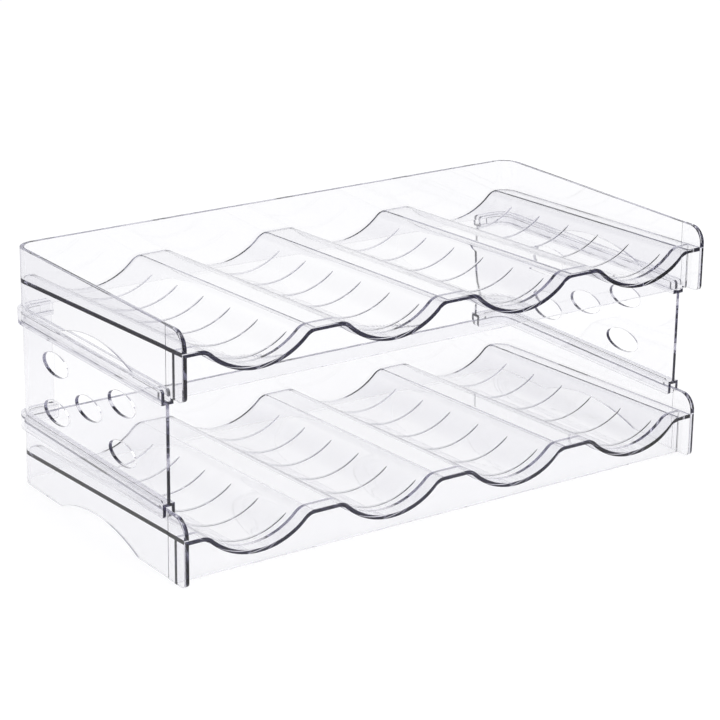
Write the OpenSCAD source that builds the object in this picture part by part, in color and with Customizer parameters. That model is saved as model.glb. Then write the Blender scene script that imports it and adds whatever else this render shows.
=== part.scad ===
// Two-tier rack that holds bottles lying down.
// Two clear cradle trays stand one above the other on two slotted side panels.
// Front faces -Y, width runs along X, and the rack stands on Z = 0.
// All sizes are in millimetres.

/* [Trays] */
// Width of a tray across the outer faces of its side walls
tray_width = 350; // [300:1:420]
// Depth of a tray from its front edge to the outer face of its rear wall
tray_depth = 185; // [170:1:220]
// Height of the tray walls
tray_height = 38; // [37:0.5:50]
// Height from the base of the lower tray to the base of the upper tray
tier_pitch = 103; // [98:0.5:130]
// Thickness of the side and rear walls
wall_thickness = 2.6; // [2:0.1:3]
// Outer radius of the two rear corners seen from above
rear_corner_radius = 12; // [8:0.5:16]
// Rounding of the top front corner of a side wall
front_top_round = 9.5; // [4:0.5:10]
// Rounding of the bottom front corner of a side wall
front_bottom_round = 3.5; // [1:0.5:6]
// Distance from the front edge back to the shoulder on the side walls
shoulder_depth = 16; // [12:0.5:20]
// How far the side wall stands proud in front of the shoulder
shoulder_proud = 0.4; // [0.2:0.1:1]

/* [Front skirt and side arch] */
// Distance from the front edge back to the skirt under the cradle
skirt_setback = 9.4; // [6:0.2:14]
// Thickness of the skirt
skirt_thickness = 2.4; // [1.6:0.1:3]
// Length of the arch cut from the bottom of each side wall
arch_length = 86; // [50:1:100]
// Height of the arch at its middle
arch_rise = 8.9; // [4:0.1:12]

/* [Cradle] */
// Number of bottle bays side by side
bay_count = 4; // [2:1:4]
// Distance between the middles of neighbouring bays
bay_pitch = 86; // [80:0.5:87]
// Radius of the surface a bottle lies in
cradle_radius = 41.5; // [38:0.5:44]
// Height of the crests above the bottom of a bay
crest_rise = 14.2; // [10:0.1:16]
// Radius that rounds the edge of a crest
crest_round = 10; // [6:0.5:12]
// Thickness of the cradle plate
plate_thickness = 2.4; // [2:0.1:3]
// Height of the crests above the tray base at the front edge
crest_front_height = 27; // [24:0.1:28]
// Height of the crests above the tray base at the rear wall
crest_rear_height = 19.4; // [19:0.1:24]

/* [Grip ribs] */
// Distance from the front edge to the first rib
rib_start = 15.2; // [10:0.2:24]
// Distance between neighbouring ribs
rib_pitch = 27.9; // [16:0.1:28]
// Width of a rib
rib_width = 0.9; // [0.6:0.1:2]
// Height of a rib above the cradle
rib_height = 0.45; // [0.3:0.05:1]
// Distance a rib reaches to each side of the middle of its bay
rib_reach = 26.4; // [12:0.2:27]

/* [Side panels] */
// Gap between the shoulder of a side wall and the front of a panel
shoulder_gap = 1.8; // [0.5:0.1:4]
// How far a panel reaches in behind the tray from the outer face of the side wall
return_length = 24; // [18:0.5:36]
// Thickness of the upright sheet of a panel
web_thickness = 2; // [1.6:0.1:3]
// Thickness of the two flanges of a rail
flange_thickness = 1.9; // [1.4:0.1:2.6]
// Thickness of the floor of a rail
floor_thickness = 1.8; // [1.4:0.1:3]
// Height of a rail from the outside of its floor to the tips of its flanges
rail_height = 8.3; // [7.5:0.1:10]
// Gap on each side between a tray wall and the flanges
slot_clearance = 0.45; // [0.3:0.05:0.8]
// Height of the ridge in the lower rail, which lies on the rim of the lower tray
lower_ridge_rise = 2.4; // [1:0.1:2.6]
// Height of the ridge in the upper rail, which the upper tray stands on
upper_ridge_rise = 4.2; // [1:0.1:5]
// Width of a ridge
ridge_width = 1.2; // [0.8:0.1:2]
// Distance from an end of a rail to the ridge in it
ridge_inset = 7; // [3:0.5:12]
// Rounding of the corners of a panel at its two ends
panel_corner_round = 2; // [0.5:0.5:3]

/* [Oval openings] */
// Length of an oval opening
oval_length = 28.6; // [16:0.2:34]
// Height of an oval opening
oval_height = 13.4; // [8:0.2:18]
// How far the middle oval sits behind the middle of the tray
oval_set_back = 9.2; // [0:0.1:12]
// How far the middle oval sits below the middle of the panel
oval_drop = 0.8; // [-2:0.1:2]
// Distance along the panel from the middle oval to the outer ones
oval_side_step = 36.8; // [32:0.2:44]
// Distance up and down from the middle oval to the outer ones
oval_rise_step = 14.2; // [10:0.2:16]

/* [Hidden] */
$fn = 96;
// How far the flange of a rail stands out from the outer face of a wall
rail_stand = slot_clearance + flange_thickness;
front_y = -(tray_depth + rail_stand) / 2;
tray_middle = front_y + tray_depth / 2;
wall_centre = tray_width / 2 - wall_thickness / 2;
crest_floor = crest_front_height - crest_rise;
cradle_tilt = atan((crest_front_height - crest_rear_height) / (tray_depth - wall_thickness));
// The bay arc and the crest rounding cross by this much, because arcs that only touch leave slivers
seam = 0.01;
// Distance down and sideways from the middle of the bay arc to the middle of the crest rounding
round_drop = cradle_radius - crest_rise + crest_round;
round_reach = thousandth(sqrt(pow(cradle_radius + crest_round, 2) - pow(round_drop, 2)));
// Radius of the arch from its length and rise
arch_radius = (pow(arch_length / 2, 2) + pow(arch_rise, 2)) / (2 * arch_rise);
// Ribs that fit between the first one and the rear wall
rib_count = floor((tray_depth - wall_thickness - rib_start - rib_width) / rib_pitch) + 1;
// Faces of the rail floors that the ridges stand on
lower_floor = tray_height + lower_ridge_rise;
upper_floor = tier_pitch - upper_ridge_rise;
panel_bottom = lower_floor + floor_thickness - rail_height;
panel_top = upper_floor - floor_thickness + rail_height;
panel_front = front_y + shoulder_depth + shoulder_gap;
return_end = tray_width / 2 - return_length;
// How far a shape that is cut later runs on past the cut, and how far a cut runs past the solid
overrun = 10;
slack = 1;

// Rounded so that the shapes drawn from a length meet without slivers.
function thousandth(x) = round(x * 1000) / 1000;

function bay_x(i) = (i - (bay_count - 1) / 2) * bay_pitch;

// Height in the cradle section where the bay arc runs into the crest rounding.
function tangent_height(drop) =
    thousandth(cradle_radius - (cradle_radius + drop) * round_drop / (cradle_radius + crest_round));

// One bay as the shape taken away above a surface that lies a drop below the top of the plate.
module bay_space(drop) {
    h = tangent_height(drop);
    union() {
        translate([0, cradle_radius])
            circle(r = cradle_radius + drop + seam);
        difference() {
            translate([-round_reach, h])
                square([2 * round_reach, cradle_radius]);
            for (side = [-1, 1])
                translate([side * round_reach, crest_rise - crest_round])
                    circle(r = crest_round - drop);
        }
    }
}

// Everything below the cradle surface, or below a surface a drop under it.
module below_cradle(drop) {
    difference() {
        translate([-tray_width / 2, -tray_height])
            square([tray_width, tray_height + crest_rise - drop]);
        for (i = [0 : bay_count - 1])
            translate([bay_x(i), 0])
                bay_space(drop);
    }
}

// Carries a section of the cradle along the tray, leaning down to the rear.
module lean(start, end) {
    translate([0, front_y, crest_floor])
        rotate([-cradle_tilt, 0, 0])
            translate([0, end, 0])
                rotate([90, 0, 0])
                    linear_extrude(height = end - start)
                        children();
}

// Outline of the tray from above, pulled in by an inset and run on past the front.
module footprint(inset, past) {
    half = tray_width / 2 - inset;
    rear = front_y + tray_depth - inset;
    r = rear_corner_radius - inset;
    union() {
        translate([-half, front_y - past])
            square([2 * half, rear - r - front_y + past]);
        translate([r - half, front_y - past])
            square([2 * (half - r), rear - front_y + past]);
        for (side = [-1, 1])
            translate([side * (half - r), rear - r])
                circle(r = r);
    }
}

// Side walls and rear wall in one, open at the front.
module tray_walls() {
    difference() {
        linear_extrude(height = tray_height)
            footprint(0, 0);
        translate([0, 0, -slack])
            linear_extrude(height = tray_height + 2 * slack)
                footprint(wall_thickness, slack);
    }
}

// The thicker strip of each side wall that ends at the shoulder.
module shoulders() {
    for (side = [-1, 1])
        translate([side * wall_centre - wall_thickness / 2 - shoulder_proud * (1 - side) / 2, front_y, 0])
            cube([wall_thickness + shoulder_proud, shoulder_depth, tray_height]);
}

// Wavy plate that carries the bottles.
module cradle_plate() {
    intersection() {
        lean(-overrun, tray_depth + overrun)
            difference() {
                below_cradle(0);
                below_cradle(plate_thickness);
            }
        linear_extrude(height = tray_height)
            footprint(wall_thickness / 2, 0);
    }
}

// Upright web under the front of the cradle plate, from the table up to the plate.
module front_skirt() {
    intersection() {
        lean(-overrun, tray_depth + overrun)
            below_cradle(plate_thickness / 2);
        translate([-wall_centre, front_y + skirt_setback, 0])
            cube([2 * wall_centre, skirt_thickness, tray_height]);
    }
}

// Fine raised ribs across the bays that keep a bottle from sliding.
module grip_ribs() {
    for (k = [0 : rib_count - 1])
        lean(rib_start + k * rib_pitch - rib_width / 2, rib_start + k * rib_pitch + rib_width / 2)
            for (i = [0 : bay_count - 1])
                translate([bay_x(i), cradle_radius])
                    intersection() {
                        difference() {
                            circle(r = cradle_radius + plate_thickness / 2);
                            circle(r = cradle_radius - rib_height);
                        }
                        translate([-rib_reach, -2 * cradle_radius])
                            square([2 * rib_reach, 1.5 * cradle_radius]);
                    }
}

// Rounds the top and bottom front corners of the side walls.
module front_corner_cuts() {
    width = tray_width + 4 * slack;
    translate([-width / 2, 0, 0])
        rotate([90, 0, 90])
            linear_extrude(height = width)
                union() {
                    difference() {
                        translate([front_y - slack, tray_height - front_top_round])
                            square([front_top_round + slack, front_top_round + slack]);
                        translate([front_y + front_top_round, tray_height - front_top_round])
                            circle(r = front_top_round);
                    }
                    difference() {
                        translate([front_y - slack, -slack])
                            square([front_bottom_round + slack, front_bottom_round + slack]);
                        translate([front_y + front_bottom_round, front_bottom_round])
                            circle(r = front_bottom_round);
                    }
                }
}

// Shallow arch in the bottom edge of each side wall.
module side_arches() {
    for (side = [-1, 1])
        translate([side * wall_centre - wall_thickness, tray_middle, arch_rise - arch_radius])
            rotate([0, 90, 0])
                cylinder(r = arch_radius, h = 2 * wall_thickness, $fn = 360);
}

// One moulded cradle tray standing on Z = 0.
module tray() {
    difference() {
        union() {
            tray_walls();
            shoulders();
            cradle_plate();
            front_skirt();
            grip_ribs();
        }
        front_corner_cuts();
        side_arches();
    }
}

// Strip that runs along the side wall, round the corner and in behind the tray, between two insets.
module panel_strip(outer, inner, bottom, top, trim) {
    translate([0, 0, bottom])
        linear_extrude(height = top - bottom)
            intersection() {
                difference() {
                    footprint(outer, 0);
                    footprint(inner, slack);
                }
                translate([return_end + trim, panel_front + trim])
                    square([tray_width, 2 * tray_depth]);
            }
}

// Rail with its floor between two heights, its flanges reaching to a third, and its ridge to a fourth.
module rail(floor_low, floor_high, tip, ridge_tip) {
    flange_low = min(floor_low, tip);
    flange_high = max(floor_high, tip);
    ridge_low = min(floor_low, ridge_tip);
    ridge_high = max(floor_high, ridge_tip);
    ridge_outer = (wall_thickness - ridge_width) / 2;
    union() {
        panel_strip(-rail_stand, wall_thickness + rail_stand, floor_low, floor_high, 0);
        panel_strip(-rail_stand, -slot_clearance, flange_low, flange_high, 0);
        panel_strip(wall_thickness + slot_clearance, wall_thickness + rail_stand, flange_low, flange_high, 0);
        panel_strip(ridge_outer, ridge_outer + ridge_width, ridge_low, ridge_high, ridge_inset);
    }
}

// Outline of a panel seen square on, with rounded corners.
module panel_outline(start, end) {
    r = panel_corner_round;
    union() {
        translate([start + r, panel_bottom])
            square([end - start - 2 * r, panel_top - panel_bottom]);
        translate([start, panel_bottom + r])
            square([end - start, panel_top - panel_bottom - 2 * r]);
        for (x = [start + r, end - r])
            for (z = [panel_bottom + r, panel_top - r])
                translate([x, z])
                    circle(r = r);
    }
}

// Five ovals set like the spots on a die.
module oval_cuts() {
    middle_z = (panel_bottom + panel_top) / 2 - oval_drop;
    for (spot = [[0, 0], [-1, -1], [-1, 1], [1, -1], [1, 1]])
        translate([wall_centre - wall_thickness, tray_middle + oval_set_back, middle_z])
            translate([0, spot[0] * oval_side_step, spot[1] * oval_rise_step])
                rotate([0, 90, 0])
                    scale([oval_height / oval_length, 1, 1])
                        cylinder(d = oval_length, h = 2 * wall_thickness);
}

// One moulded side panel in its working place on the +X side.
module side_panel() {
    difference() {
        intersection() {
            union() {
                panel_strip(
                    (wall_thickness - web_thickness) / 2,
                    (wall_thickness + web_thickness) / 2,
                    lower_floor,
                    upper_floor,
                    0
                );
                rail(lower_floor, lower_floor + floor_thickness, panel_bottom, tray_height);
                rail(upper_floor - floor_thickness, upper_floor, panel_top, tier_pitch);
            }
            rotate([90, 0, 90])
                linear_extrude(height = tray_width)
                    panel_outline(panel_front, panel_front + 2 * tray_depth);
            translate([0, tray_depth, 0])
                rotate([90, 0, 0])
                    linear_extrude(height = 2 * tray_depth)
                        panel_outline(return_end, tray_width);
        }
        oval_cuts();
    }
}

// Lower tray, standing on the table.
module lower_tray() {
    color([0.93, 0.95, 0.96, 0.45])
        tray();
}

// Upper tray, held up by the two side panels.
module upper_tray() {
    color([0.93, 0.95, 0.96, 0.45])
        translate([0, 0, tier_pitch])
            tray();
}

// Panel on the -X side.
module left_side_panel() {
    color([0.9, 0.93, 0.95, 0.45])
        mirror([1, 0, 0])
            side_panel();
}

// Panel on the +X side, the mirror image of the other.
module right_side_panel() {
    color([0.9, 0.93, 0.95, 0.45])
        side_panel();
}

lower_tray();
upper_tray();
left_side_panel();
right_side_panel();
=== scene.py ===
import math

import bmesh
import bpy
from mathutils import Matrix, Vector


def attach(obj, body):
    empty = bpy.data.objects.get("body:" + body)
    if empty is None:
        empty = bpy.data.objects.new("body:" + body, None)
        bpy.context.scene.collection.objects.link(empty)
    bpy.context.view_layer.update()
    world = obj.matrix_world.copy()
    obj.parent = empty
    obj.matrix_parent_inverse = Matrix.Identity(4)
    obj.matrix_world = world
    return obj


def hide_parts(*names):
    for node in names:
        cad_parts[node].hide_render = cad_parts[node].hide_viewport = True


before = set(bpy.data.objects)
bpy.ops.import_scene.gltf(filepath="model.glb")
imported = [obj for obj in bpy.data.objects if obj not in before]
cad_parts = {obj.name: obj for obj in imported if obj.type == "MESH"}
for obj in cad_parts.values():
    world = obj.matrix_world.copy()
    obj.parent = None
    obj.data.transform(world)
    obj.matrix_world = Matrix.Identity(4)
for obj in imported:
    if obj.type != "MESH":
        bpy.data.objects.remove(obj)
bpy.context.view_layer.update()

# All sizes are in millimetres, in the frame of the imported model: the origin is the middle of the
# rack's base, the open front faces -Y and Z is up. MM turns them into Blender's metres.
MM = 0.001

# Trays
TRAY_WIDTH = 350.0
TRAY_DEPTH = 185.0
TRAY_HEIGHT = 38.0
TIER_PITCH = 103.0
WALL = 2.6
REAR_CORNER = 12.0
FRONT_TOP_ROUND = 9.5
FRONT_BOTTOM_ROUND = 3.5
SHOULDER_DEPTH = 16.0
SHOULDER_PROUD = 0.4
SKIRT_SETBACK = 9.4
SKIRT = 2.4
ARCH_LENGTH = 86.0
ARCH_RISE = 8.9

# Cradle
BAYS = 4
BAY_PITCH = 86.0
CRADLE_RADIUS = 41.5
CREST_RISE = 14.2
CREST_ROUND = 10.0
PLATE = 2.4
CREST_FRONT = 27.0
CREST_REAR = 19.4

# Grip ribs, drawn a little stronger than in the solids so that they show as in the photograph
RIB_START = 15.2
RIB_PITCH = 27.9
RIB_COUNT = 6
RIB_HEIGHT = 0.7
RIB_HALF_WIDTH = 0.6
RIB_REACH = 26.4
RIB_END_SHARE = 0.45
RIB_END_STEPS = 2
SQUARENESS = 0.25

# Side panels
SHOULDER_GAP = 1.8
RETURN_LENGTH = 24.0
WEB = 2.0
FLANGE = 1.9
RAIL_FLOOR = 1.8
RAIL_HEIGHT = 8.3
SLOT_CLEARANCE = 0.45
LOWER_RIDGE = 2.4
UPPER_RIDGE = 4.2
RIDGE_WIDTH = 1.2
RIDGE_INSET = 7.0
RIDGE_SINK = 0.5
PANEL_CORNER = 2.0
OVAL_LENGTH = 28.6
OVAL_HEIGHT = 13.4
OVAL_SET_BACK = 9.2
OVAL_DROP = 0.8
OVAL_SIDE_STEP = 36.8
OVAL_RISE_STEP = 14.2

# Rounding of moulded edges, and the fine groove behind the shoulder of a side wall
EDGE_ROUND = 0.2
FILLET = 0.4
REAR_EDGE_SHARE = 0.35
REAR_EDGE_REACH = 1.5 * WALL
ROUND_ROOM = 0.3
ROUND_STEPS = 3
EDGE_ANGLE = math.radians(30)
SMOOTH_ANGLE = math.radians(42)
NORMAL_WEIGHT = 80
FLAT_ANGLE = math.radians(0.05)
SAME_POINT = 0.0001
SAME_VERTEX = 0.002
SHOULDER_GROOVE = 0.6
SHOULDER_RAMP = 1.1

# How far cutting shapes run on past what they cut
MARGIN = 2.0
WIDE_MARGIN = 20.0

# Steps of the arcs
BAY_STEPS = 88
CREST_STEPS = 16
CORNER_STEPS = 16
FRONT_ROUND_STEPS = 14
ARCH_STEPS = 40
RIB_STEPS = 40
RIB_SIDES = 16
RAIL_TURN = 6
PANEL_CORNER_STEPS = 6
OVAL_STEPS = 72

# Clear plastic: the absorption, per metre, is what draws the dark violet edges
CLARITY = (0.997, 0.997, 0.999, 1)
REFRACTION = 1.5
ABSORPTION_TINT = (0.07, 0.055, 0.25, 1)
ABSORPTION = 22.0
SHADOW_TINT = (0.95, 0.95, 0.96, 1)
FLOW_SCALE = 28.0
FLOW_DETAIL = 2.0
FLOW_STRENGTH = 0.15
FLOW_DEPTH = 0.4
HAZE_SCALE = 140.0
HAZE_DETAIL = 4.0
HAZE_ROUGHNESS = 0.04

# Floor: what mirror reflections see of it is dimmer beyond a short way from the rack
FLOOR_RADIUS = 6000.0
FLOOR_DROP = 0.1
FLOOR_SIDES = 64
FLOOR_COLOUR = (0.94, 0.94, 0.95, 1)
FLOOR_GLOW = 0.75
REFLECTED_FLOOR = (0.55, 0.54, 0.60, 1)
REFLECTED_FROM = 280.0
REFLECTED_FULL = 500.0

# Surroundings, as the sine of the height over the horizon and the colour there
WHITE = (1, 1, 1, 1)
SKY = (
    (0.50, WHITE),
    (0.62, (0.48, 0.47, 0.54, 1)),
    (0.80, (0.40, 0.39, 0.45, 1)),
    (0.92, (0.65, 0.65, 0.67, 1)),
)
ZENITH = (0.9, 0.9, 0.9, 1)

# Lamp, in metres and watts
LAMP_PLACE = (0.2, -0.3, 1.6)
LAMP_SIZE = (1.6, 1.2)
LAMP_POWER = 14.0

# Camera, fitted to straight edges and rib ends of the photograph, in degrees, metres and pixels
CAMERA_AZIMUTH = -34.859
CAMERA_ELEVATION = 19.400
CAMERA_ROLL = 0.708
CAMERA_TARGET = (0.06241, 0.09039, 0.02730)
CAMERA_DISTANCE = 1.6
FOCAL_PIXELS = 2567.7
PICTURE_PIXELS = 720
SENSOR = 36.0

# Light paths through stacked clear walls need many bounces, or they end black
BOUNCES = 64
SEE_THROUGH_BOUNCES = 32

RAIL_STAND = SLOT_CLEARANCE + FLANGE
FRONT_Y = -(TRAY_DEPTH + RAIL_STAND) / 2
REAR_Y = FRONT_Y + TRAY_DEPTH
TRAY_MIDDLE = (FRONT_Y + REAR_Y) / 2
WALL_CENTRE = (TRAY_WIDTH - WALL) / 2
CREST_FLOOR = CREST_FRONT - CREST_RISE
TILT = math.atan((CREST_FRONT - CREST_REAR) / (TRAY_DEPTH - WALL))
ROUND_DROP = CRADLE_RADIUS - CREST_RISE + CREST_ROUND
ROUND_REACH = math.sqrt((CRADLE_RADIUS + CREST_ROUND) ** 2 - ROUND_DROP ** 2)
BEND = math.degrees(math.acos(ROUND_DROP / (CRADLE_RADIUS + CREST_ROUND)))
PANEL_FRONT = FRONT_Y + SHOULDER_DEPTH + SHOULDER_GAP
RETURN_END = TRAY_WIDTH / 2 - RETURN_LENGTH
LOWER_FLOOR = TRAY_HEIGHT + LOWER_RIDGE
UPPER_FLOOR = TIER_PITCH - UPPER_RIDGE
PANEL_BOTTOM = LOWER_FLOOR - RAIL_HEIGHT + RAIL_FLOOR
PANEL_TOP = UPPER_FLOOR + RAIL_HEIGHT - RAIL_FLOOR


def arc(centre, radius, start, end, steps):
    """Points along an arc, from one angle to another in degrees."""
    points = []
    for i in range(steps + 1):
        a = math.radians(start + (end - start) * i / steps)
        points.append((centre[0] + radius * math.cos(a), centre[1] + radius * math.sin(a)))
    return points


def tidy_outline(points):
    """The same outline without points that repeat the one before."""
    kept = []
    for p in points:
        if not kept or math.dist(p, kept[-1]) > SAME_POINT:
            kept.append(p)
    if math.dist(kept[0], kept[-1]) <= SAME_POINT:
        kept.pop()
    return kept


def piece(name, mesh_builder):
    """A new object from a bmesh in millimetres."""
    mesh = bpy.data.meshes.new(name)
    bmesh.ops.recalc_face_normals(mesh_builder, faces=mesh_builder.faces)
    bmesh.ops.scale(mesh_builder, vec=(MM, MM, MM), verts=mesh_builder.verts)
    mesh_builder.to_mesh(mesh)
    mesh_builder.free()
    made = bpy.data.objects.new(name, mesh)
    bpy.context.scene.collection.objects.link(made)
    return made


def skin(name, outlines):
    """A closed solid through a row of outlines with as many points each."""
    b = bmesh.new()
    rings = [[b.verts.new(p) for p in outline] for outline in outlines]
    b.faces.new(rings[0])
    b.faces.new(list(reversed(rings[-1])))
    for low, high in zip(rings, rings[1:]):
        for i in range(len(low)):
            j = (i + 1) % len(low)
            b.faces.new((low[i], low[j], high[j], high[i]))
    return piece(name, b)


def upright(name, outline, low, high):
    """An outline seen from above, drawn up from one height to another."""
    points = tidy_outline(outline)
    return skin(name, [[(x, y, z) for x, y in points] for z in (low, high)])


def sideways(name, outline, left, right):
    """An outline seen from the side, as depth and height, drawn across the width."""
    points = tidy_outline(outline)
    return skin(name, [[(x, y, z) for y, z in points] for x in (left, right)])


def square_on(name, outline, front, rear):
    """An outline seen from the front, as width and height, drawn along the depth."""
    points = tidy_outline(outline)
    return skin(name, [[(x, y, z) for x, z in points] for y in (front, rear)])


def evaluated_mesh(made):
    """The mesh of an object with its modifiers applied."""
    return bpy.data.meshes.new_from_object(made.evaluated_get(bpy.context.evaluated_depsgraph_get()))


def keep_modifiers(made):
    """Applies what modifiers a piece carries."""
    mesh = evaluated_mesh(made)
    made.modifiers.clear()
    made.data = mesh
    return made


def combine(target, tool, operation):
    """Joins, cuts or intersects target with tool, which is used up."""
    modifier = target.modifiers.new("combine", "BOOLEAN")
    modifier.solver = "MANIFOLD"
    modifier.operation = operation
    modifier.object = tool
    keep_modifiers(target)
    bpy.data.objects.remove(tool)
    return target


def edge_radius(edge, wanted):
    """The radius an edge can take beside its narrower face, and a finer one at the rear wall."""
    room = min(face.calc_area() for face in edge.link_faces) / edge.calc_length() / MM
    y = (edge.verts[0].co.y + edge.verts[1].co.y) / 2 / MM
    if y > REAR_Y - REAR_EDGE_REACH:
        wanted *= REAR_EDGE_SHARE
    return min(wanted, ROUND_ROOM * room)


def round_edges(made, convex, concave):
    """Rounds the outer edges by one radius and fills the inner corners by another."""
    b = bmesh.new()
    b.from_mesh(made.data)
    bmesh.ops.remove_doubles(b, verts=b.verts, dist=SAME_VERTEX * MM)
    bmesh.ops.dissolve_limit(b, angle_limit=FLAT_ANGLE, verts=b.verts, edges=b.edges)
    layer = b.edges.layers.float.new("bevel_weight_edge")
    widest = max(convex, concave)
    for e in b.edges:
        if len(e.link_faces) != 2:
            continue
        turn = e.calc_face_angle_signed(0.0)
        if abs(turn) > EDGE_ANGLE:
            e[layer] = edge_radius(e, convex if turn > 0 else concave) / widest
    b.to_mesh(made.data)
    b.free()
    modifier = made.modifiers.new("round", "BEVEL")
    modifier.limit_method = "WEIGHT"
    modifier.width = widest * MM
    modifier.segments = ROUND_STEPS
    modifier.use_clamp_overlap = True
    modifier.miter_outer = "MITER_SHARP"
    return keep_modifiers(made)


def shade(made):
    """Smooth shading that keeps flat faces flat."""
    made.data.shade_smooth()
    made.data.set_sharp_from_angle(angle=SMOOTH_ANGLE)
    modifier = made.modifiers.new("normals", "WEIGHTED_NORMAL")
    modifier.mode = "FACE_AREA"
    modifier.weight = NORMAL_WEIGHT
    modifier.keep_sharp = True
    return keep_modifiers(made)


def bay_x(i):
    """The middle of a bay across the tray."""
    return (i - (BAYS - 1) / 2) * BAY_PITCH


def wave_line(drop):
    """The section of the cradle surface across the tray, or of a surface that lies a drop under it."""
    line = [(-TRAY_WIDTH / 2, CREST_RISE - drop)]
    crest_z = CREST_RISE - CREST_ROUND
    for i in range(BAYS):
        x = bay_x(i)
        line += arc((x - ROUND_REACH, crest_z), CREST_ROUND - drop, 90, 90 - BEND, CREST_STEPS)
        line += arc((x, CRADLE_RADIUS), CRADLE_RADIUS + drop, -90 - BEND, -90 + BEND, BAY_STEPS)
        line += arc((x + ROUND_REACH, crest_z), CREST_ROUND - drop, 90 + BEND, 90, CREST_STEPS)
    line.append((TRAY_WIDTH / 2, CREST_RISE - drop))
    kept = []
    for p in line:
        if not kept or p[0] - kept[-1][0] > SAME_POINT:
            kept.append(p)
    return kept


def cradle_z(rise, y):
    """Height in the tray of a point of the section at some depth, as the cradle leans to the rear."""
    return CREST_FLOOR - (y - FRONT_Y) * math.tan(TILT) + rise / math.cos(TILT)


def leaning(name, outline, front, rear, base):
    """A section across the tray carried from front to rear along the lean, with upright ends.

    A point of the outline with no rise stands on the base of the tray.
    """
    def placed(y):
        return [(x, y, base if rise is None else base + cradle_z(rise, y)) for x, rise in outline]
    return skin(name, [placed(front), placed(rear)])


def footprint(inset, past=0.0):
    """The outline of the tray from above, pulled in by an inset and run on past the front."""
    half = TRAY_WIDTH / 2 - inset
    rear = REAR_Y - inset
    r = REAR_CORNER - inset
    outline = [(-half, FRONT_Y - past), (half, FRONT_Y - past)]
    outline += arc((half - r, rear - r), r, 0, 90, CORNER_STEPS)
    outline += arc((r - half, rear - r), r, 90, 180, CORNER_STEPS)
    return outline


def shoulder_line():
    """The step of the side wall behind its thicker front strip, and the fine groove after it."""
    half = TRAY_WIDTH / 2
    y = FRONT_Y + SHOULDER_DEPTH
    end = y + SHOULDER_RAMP
    return [(half + SHOULDER_PROUD, y), (half, y), (half - SHOULDER_GROOVE, end), (half, end)]


def tray_walls(name, base):
    """Side and rear walls with the thicker strip in front of the shoulder."""
    half = TRAY_WIDTH / 2
    proud = half + SHOULDER_PROUD
    outline = [(half - WALL, FRONT_Y), (proud, FRONT_Y)]
    outline += shoulder_line()
    outline += footprint(0.0)[2:]
    outline += [(-x, y) for x, y in reversed(shoulder_line())]
    outline += [(-proud, FRONT_Y), (WALL - half, FRONT_Y)]
    outline += list(reversed(footprint(WALL)[2:]))
    return upright(name, outline, base, base + TRAY_HEIGHT)


def cradle_plate(base):
    """The wavy plate, trimmed to the middle of the walls."""
    outline = wave_line(0.0) + list(reversed(wave_line(PLATE)))
    plate = leaning("plate", outline, FRONT_Y, REAR_Y, base)
    outline = footprint(WALL / 2, past=WIDE_MARGIN)
    inside = upright("inside", outline, base - WIDE_MARGIN, base + TRAY_HEIGHT)
    return combine(plate, inside, "INTERSECT")


def front_skirt(base):
    """The upright skirt from the base of the tray to inside the cradle plate."""
    line = [p for p in wave_line(PLATE / 2) if abs(p[0]) < WALL_CENTRE]
    edge = CREST_RISE - PLATE / 2
    line = [(-WALL_CENTRE, edge)] + line + [(WALL_CENTRE, edge)]
    outline = line + [(WALL_CENTRE, None), (-WALL_CENTRE, None)]
    front = FRONT_Y + SKIRT_SETBACK
    return leaning("skirt", outline, front, front + SKIRT, base)


def corner_cut(corner_z, radius, up):
    """What is cut away to round a front corner of the side walls: up is 1 at the top and -1 below."""
    centre = (FRONT_Y + radius, corner_z - up * radius)
    outline = arc(centre, radius, 180, 180 - up * 90, FRONT_ROUND_STEPS)
    outline += [(centre[0], corner_z + up * MARGIN), (FRONT_Y - MARGIN, corner_z + up * MARGIN)]
    outline += [(FRONT_Y - MARGIN, centre[1])]
    return sideways("corner", outline, -TRAY_WIDTH, TRAY_WIDTH)


def side_arch(side, base):
    """What is cut out of the base of a side wall: side is -1 on the left and 1 on the right."""
    half = ARCH_LENGTH / 2
    radius = (half ** 2 + ARCH_RISE ** 2) / (2 * ARCH_RISE)
    half_angle = math.degrees(math.asin(half / radius))
    centre = (TRAY_MIDDLE, base + ARCH_RISE - radius)
    outline = arc(centre, radius, 90 - half_angle, 90 + half_angle, ARCH_STEPS)
    outline += [(TRAY_MIDDLE - half, base - MARGIN), (TRAY_MIDDLE + half, base - MARGIN)]
    ends = sorted((side * (WALL_CENTRE - WALL), side * (WALL_CENTRE + WALL)))
    return sideways("arch", outline, *ends)


def squarish(s):
    """Pushes a sine or cosine outward, which turns a circle into a square with rounded corners."""
    return math.copysign(abs(s) ** SQUARENESS, s)


def rib(x, depth, base):
    """One fine bead across a bay, nearly square with rounded corners and sunk into the plate."""
    reach = math.asin(RIB_REACH / CRADLE_RADIUS)
    rings = []
    for i in range(RIB_STEPS + 1):
        a = -reach + 2 * reach * i / RIB_STEPS
        from_end = min(i, RIB_STEPS - i)
        share = min(1.0, RIB_END_SHARE + (1 - RIB_END_SHARE) * from_end / RIB_END_STEPS)
        ring = []
        for k in range(RIB_SIDES):
            t = 2 * math.pi * k / RIB_SIDES
            radius = CRADLE_RADIUS - share * RIB_HEIGHT * squarish(math.cos(t))
            y = FRONT_Y + depth + share * RIB_HALF_WIDTH * squarish(math.sin(t))
            rise = CRADLE_RADIUS - radius * math.cos(a)
            ring.append((x + radius * math.sin(a), y, base + cradle_z(rise, y)))
        rings.append(ring)
    return skin("rib", rings)


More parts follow.
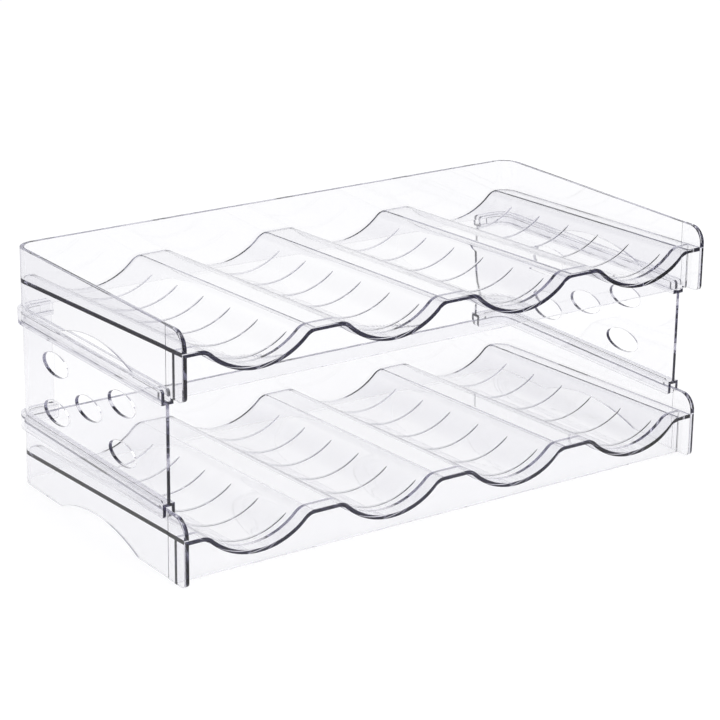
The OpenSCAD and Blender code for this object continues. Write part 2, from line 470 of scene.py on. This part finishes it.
def tray(name, base):
    """One moulded cradle tray with its walls, skirt, arches and ribs."""
    made = tray_walls(name, base)
    combine(made, cradle_plate(base), "UNION")
    combine(made, front_skirt(base), "UNION")
    combine(made, corner_cut(base + TRAY_HEIGHT, FRONT_TOP_ROUND, 1), "DIFFERENCE")
    combine(made, corner_cut(base, FRONT_BOTTOM_ROUND, -1), "DIFFERENCE")
    for side in (-1, 1):
        combine(made, side_arch(side, base), "DIFFERENCE")
    round_edges(made, EDGE_ROUND, FILLET)
    for i in range(BAYS):
        for k in range(RIB_COUNT):
            combine(made, rib(bay_x(i), RIB_START + k * RIB_PITCH, base), "UNION")
    return shade(made)


def round_the_corner(name, section, trim):
    """A section of insets and heights carried along the side wall, round the rear corner and behind.

    The trim is what both ends lose; below zero, they run on.
    """
    centre = (TRAY_WIDTH / 2 - REAR_CORNER, REAR_Y - REAR_CORNER)
    rings = [[(TRAY_WIDTH / 2 - inset, PANEL_FRONT + trim, z) for inset, z in section]]
    for a in range(0, 91, RAIL_TURN):
        turn = math.radians(a)
        ring = []
        for inset, z in section:
            reach = REAR_CORNER - inset
            ring.append((centre[0] + reach * math.cos(turn), centre[1] + reach * math.sin(turn), z))
        rings.append(ring)
    rings.append([(RETURN_END + trim, REAR_Y - inset, z) for inset, z in section])
    return skin(name, rings)


def panel_section():
    """The web with its two rails as insets from the outer face of the tray wall, and heights."""
    outer = -RAIL_STAND
    slot = -SLOT_CLEARANCE
    web = (WALL - WEB) / 2
    outer_half = [(slot, LOWER_FLOOR), (slot, PANEL_BOTTOM), (outer, PANEL_BOTTOM)]
    outer_half += [(outer, LOWER_FLOOR + RAIL_FLOOR), (web, LOWER_FLOOR + RAIL_FLOOR)]
    outer_half += [(web, UPPER_FLOOR - RAIL_FLOOR), (outer, UPPER_FLOOR - RAIL_FLOOR)]
    outer_half += [(outer, PANEL_TOP), (slot, PANEL_TOP), (slot, UPPER_FLOOR)]
    inner_half = [(WALL - inset, z) for inset, z in reversed(outer_half)]
    return outer_half + inner_half


def ridge(low, high):
    """The slim ridge in a rail on which a tray rests."""
    start = (WALL - RIDGE_WIDTH) / 2
    end = start + RIDGE_WIDTH
    return round_the_corner("ridge", [(start, low), (end, low), (end, high), (start, high)], RIDGE_INSET)


def panel_outline(start, end):
    """A panel seen square on, with rounded corners at its start."""
    r = PANEL_CORNER
    low, high = PANEL_BOTTOM + r, PANEL_TOP - r
    outline = [(end, PANEL_BOTTOM - MARGIN), (end, PANEL_TOP + MARGIN), (start + r, PANEL_TOP + MARGIN)]
    outline += arc((start + r, high), r, 90, 180, PANEL_CORNER_STEPS)
    outline += arc((start + r, low), r, 180, 270, PANEL_CORNER_STEPS)
    return outline + [(start + r, PANEL_BOTTOM - MARGIN)]


def oval_cut(y, z):
    """One oval through the right panel."""
    outline = []
    for i in range(OVAL_STEPS):
        a = 2 * math.pi * i / OVAL_STEPS
        outline.append((y + OVAL_LENGTH / 2 * math.cos(a), z + OVAL_HEIGHT / 2 * math.sin(a)))
    return sideways("oval", outline, WALL_CENTRE - 2 * WALL, WALL_CENTRE + 2 * WALL)


def side_panel(name):
    """The moulded side panel on the +X side with its rails, ridges and five ovals."""
    made = round_the_corner(name, panel_section(), -MARGIN)
    combine(made, ridge(TRAY_HEIGHT, LOWER_FLOOR + RIDGE_SINK), "UNION")
    combine(made, ridge(UPPER_FLOOR - RIDGE_SINK, TIER_PITCH), "UNION")
    side = sideways("side", panel_outline(PANEL_FRONT, REAR_Y + WIDE_MARGIN), 0.0, TRAY_WIDTH)
    combine(made, side, "INTERSECT")
    front = square_on("front", panel_outline(RETURN_END, TRAY_WIDTH), -TRAY_DEPTH, TRAY_DEPTH)
    combine(made, front, "INTERSECT")
    middle_z = (PANEL_BOTTOM + PANEL_TOP) / 2 - OVAL_DROP
    for along, rise in ((0, 0), (-1, -1), (-1, 1), (1, -1), (1, 1)):
        y = TRAY_MIDDLE + OVAL_SET_BACK + along * OVAL_SIDE_STEP
        combine(made, oval_cut(y, middle_z + rise * OVAL_RISE_STEP), "DIFFERENCE")
    return round_edges(made, EDGE_ROUND, EDGE_ROUND)


def mirror(made):
    """Turns the panel for the +X side into the one for the other side."""
    b = bmesh.new()
    b.from_mesh(made.data)
    for v in b.verts:
        v.co.x = -v.co.x
    bmesh.ops.reverse_faces(b, faces=b.faces)
    b.to_mesh(made.data)
    b.free()
    return made


def empty_tree(owner):
    """The nodes and links of a material or world, with nothing in them yet."""
    owner.use_nodes = True
    owner.node_tree.nodes.clear()
    return owner.node_tree.nodes, owner.node_tree.links


def noise(nodes, links, scale, detail):
    """Noise in the coordinates of the piece, as its output."""
    place = nodes.new("ShaderNodeTexCoord")
    made = nodes.new("ShaderNodeTexNoise")
    made.inputs["Scale"].default_value = scale
    made.inputs["Detail"].default_value = detail
    links.new(place.outputs["Object"], made.inputs["Vector"])
    return made.outputs["Fac"]


def larger(nodes, links, first, second):
    """The larger of two outputs."""
    made = nodes.new("ShaderNodeMath")
    made.operation = "MAXIMUM"
    links.new(first, made.inputs[0])
    links.new(second, made.inputs[1])
    return made.outputs["Value"]


def product(nodes, links, first, second):
    """One output times another output or a number."""
    made = nodes.new("ShaderNodeMath")
    made.operation = "MULTIPLY"
    links.new(first, made.inputs[0])
    if isinstance(second, float):
        made.inputs[1].default_value = second
    else:
        links.new(second, made.inputs[1])
    return made.outputs["Value"]


def mixed(nodes, links, share, first, second):
    """A shader that goes over from the first to the second with the share."""
    made = nodes.new("ShaderNodeMixShader")
    links.new(share, made.inputs["Fac"])
    links.new(first, made.inputs[1])
    links.new(second, made.inputs[2])
    return made.outputs["Shader"]


def clear_plastic(name):
    """Clear moulded plastic: a faint flow waviness, a fine haze, a tint that deepens along the wall."""
    material = bpy.data.materials.new(name)
    nodes, links = empty_tree(material)
    plastic = nodes.new("ShaderNodeBsdfPrincipled")
    plastic.inputs["Base Color"].default_value = CLARITY
    plastic.inputs["Transmission Weight"].default_value = 1.0
    plastic.inputs["IOR"].default_value = REFRACTION
    bump = nodes.new("ShaderNodeBump")
    bump.inputs["Strength"].default_value = FLOW_STRENGTH
    bump.inputs["Distance"].default_value = FLOW_DEPTH * MM
    haze = nodes.new("ShaderNodeMapRange")
    haze.inputs["To Min"].default_value = 0.0
    haze.inputs["To Max"].default_value = HAZE_ROUGHNESS
    links.new(noise(nodes, links, FLOW_SCALE, FLOW_DETAIL), bump.inputs["Height"])
    links.new(noise(nodes, links, HAZE_SCALE, HAZE_DETAIL), haze.inputs["Value"])
    links.new(bump.outputs["Normal"], plastic.inputs["Normal"])
    links.new(haze.outputs["Result"], plastic.inputs["Roughness"])
    path = nodes.new("ShaderNodeLightPath")
    open_shadow = nodes.new("ShaderNodeBsdfTransparent")
    open_shadow.inputs["Color"].default_value = SHADOW_TINT
    shadow = path.outputs["Is Shadow Ray"]
    surface = mixed(nodes, links, shadow, plastic.outputs["BSDF"], open_shadow.outputs["BSDF"])
    depth = nodes.new("ShaderNodeVolumeAbsorption")
    depth.inputs["Color"].default_value = ABSORPTION_TINT
    depth.inputs["Density"].default_value = ABSORPTION
    out = nodes.new("ShaderNodeOutputMaterial")
    links.new(surface, out.inputs["Surface"])
    links.new(depth.outputs["Volume"], out.inputs["Volume"])
    return material


def far_out(nodes, links):
    """How far out a spot on the floor lies, from 0 near the rack to 1."""
    place = nodes.new("ShaderNodeNewGeometry")
    distance = nodes.new("ShaderNodeVectorMath")
    distance.operation = "LENGTH"
    fade = nodes.new("ShaderNodeMapRange")
    fade.interpolation_type = "SMOOTHSTEP"
    fade.inputs["From Min"].default_value = REFLECTED_FROM * MM
    fade.inputs["From Max"].default_value = REFLECTED_FULL * MM
    links.new(place.outputs["Position"], distance.inputs[0])
    links.new(distance.outputs["Value"], fade.inputs["Value"])
    return fade.outputs["Result"]


def floor_material():
    """White floor that keeps a soft shadow, shows white through the plastic and reflects dimmer."""
    material = bpy.data.materials.new("floor")
    nodes, links = empty_tree(material)
    path = nodes.new("ShaderNodeLightPath").outputs
    plain = nodes.new("ShaderNodeBsdfDiffuse")
    plain.inputs["Color"].default_value = FLOOR_COLOUR
    glow = nodes.new("ShaderNodeEmission")
    seen = larger(nodes, links, path["Is Camera Ray"], path["Is Glossy Ray"])
    seen = larger(nodes, links, seen, path["Is Transmission Ray"])
    share = product(nodes, links, seen, FLOOR_GLOW)
    white = mixed(nodes, links, share, plain.outputs["BSDF"], glow.outputs["Emission"])
    dim = nodes.new("ShaderNodeEmission")
    dim.inputs["Color"].default_value = REFLECTED_FLOOR
    reflected = product(nodes, links, path["Is Reflection Ray"], far_out(nodes, links))
    surface = mixed(nodes, links, reflected, white, dim.outputs["Emission"])
    out = nodes.new("ShaderNodeOutputMaterial")
    links.new(surface, out.inputs["Surface"])
    return material


def make_floor():
    """The table top, a hair under the rack so that the two don't share a plane."""
    b = bmesh.new()
    bmesh.ops.create_circle(b, cap_ends=True, segments=FLOOR_SIDES, radius=FLOOR_RADIUS)
    floor = piece("floor", b)
    floor.location.z = -FLOOR_DROP * MM
    floor.data.materials.append(floor_material())


def make_world():
    """White all round at eye level and a grey band overhead, which only the plastic shows."""
    world = bpy.data.worlds.new("studio")
    bpy.context.scene.world = world
    nodes, links = empty_tree(world)
    path = nodes.new("ShaderNodeLightPath").outputs
    place = nodes.new("ShaderNodeTexCoord")
    split = nodes.new("ShaderNodeSeparateXYZ")
    ramp = nodes.new("ShaderNodeValToRGB")
    stops = ramp.color_ramp.elements
    stops[0].color = WHITE
    stops[1].color = ZENITH
    for height, colour in SKY:
        stops.new(height).color = colour
    white = nodes.new("ShaderNodeMixRGB")
    white.inputs["Color2"].default_value = WHITE
    background = nodes.new("ShaderNodeBackground")
    out = nodes.new("ShaderNodeOutputWorld")
    links.new(place.outputs["Generated"], split.inputs["Vector"])
    links.new(split.outputs["Z"], ramp.inputs["Fac"])
    links.new(ramp.outputs["Color"], white.inputs["Color1"])
    links.new(larger(nodes, links, path["Is Camera Ray"], path["Is Diffuse Ray"]), white.inputs["Fac"])
    links.new(white.outputs["Color"], background.inputs["Color"])
    links.new(background.outputs["Background"], out.inputs["Surface"])


def make_lamp():
    """One wide soft lamp overhead, turned to the middle of the base."""
    light = bpy.data.lights.new("overhead", "AREA")
    light.shape = "RECTANGLE"
    light.size, light.size_y = LAMP_SIZE
    light.energy = LAMP_POWER
    lamp = bpy.data.objects.new("overhead", light)
    bpy.context.scene.collection.objects.link(lamp)
    lamp.location = LAMP_PLACE
    lamp.rotation_euler = (-Vector(LAMP_PLACE)).to_track_quat("-Z", "Y").to_euler()


def make_camera():
    """The photograph's camera, level but for a slight roll."""
    azimuth = math.radians(CAMERA_AZIMUTH)
    elevation = math.radians(CAMERA_ELEVATION)
    roll = math.radians(CAMERA_ROLL)
    back = Vector((
        math.sin(azimuth) * math.cos(elevation),
        -math.cos(azimuth) * math.cos(elevation),
        math.sin(elevation),
    ))
    right = Vector((math.cos(azimuth), math.sin(azimuth), 0))
    up = back.cross(right)
    turned_right = math.cos(roll) * right + math.sin(roll) * up
    turned_up = math.cos(roll) * up - math.sin(roll) * right
    data = bpy.data.cameras.new("camera")
    data.sensor_width = SENSOR
    data.lens = FOCAL_PIXELS / PICTURE_PIXELS * SENSOR
    camera = bpy.data.objects.new("camera", data)
    bpy.context.scene.collection.objects.link(camera)
    place = Matrix.Translation(Vector(CAMERA_TARGET) + back * CAMERA_DISTANCE)
    camera.matrix_world = place @ Matrix((turned_right, turned_up, back)).transposed().to_4x4()
    bpy.context.scene.camera = camera


tray_plastic = clear_plastic("clear_tray")
panel_plastic = clear_plastic("clear_panel")

pieces = {
    "lower_tray": (tray("lower_tray_shown", 0.0), tray_plastic, "clear_tray"),
    "upper_tray": (tray("upper_tray_shown", TIER_PITCH), tray_plastic, "clear_tray"),
    "left_side_panel": (shade(mirror(side_panel("left_panel_shown"))), panel_plastic, "clear_panel"),
    "right_side_panel": (shade(side_panel("right_panel_shown")), panel_plastic, "clear_panel"),
}
for node, (made, material, slot) in pieces.items():
    made.data.materials.clear()
    made.data.materials.append(material)
    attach(made, "root")
    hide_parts(node)

make_floor()
make_world()
make_lamp()
make_camera()

scene = bpy.context.scene
scene.view_settings.view_transform = "Standard"
scene.cycles.max_bounces = BOUNCES
scene.cycles.glossy_bounces = BOUNCES
scene.cycles.transmission_bounces = BOUNCES
scene.cycles.transparent_max_bounces = SEE_THROUGH_BOUNCES
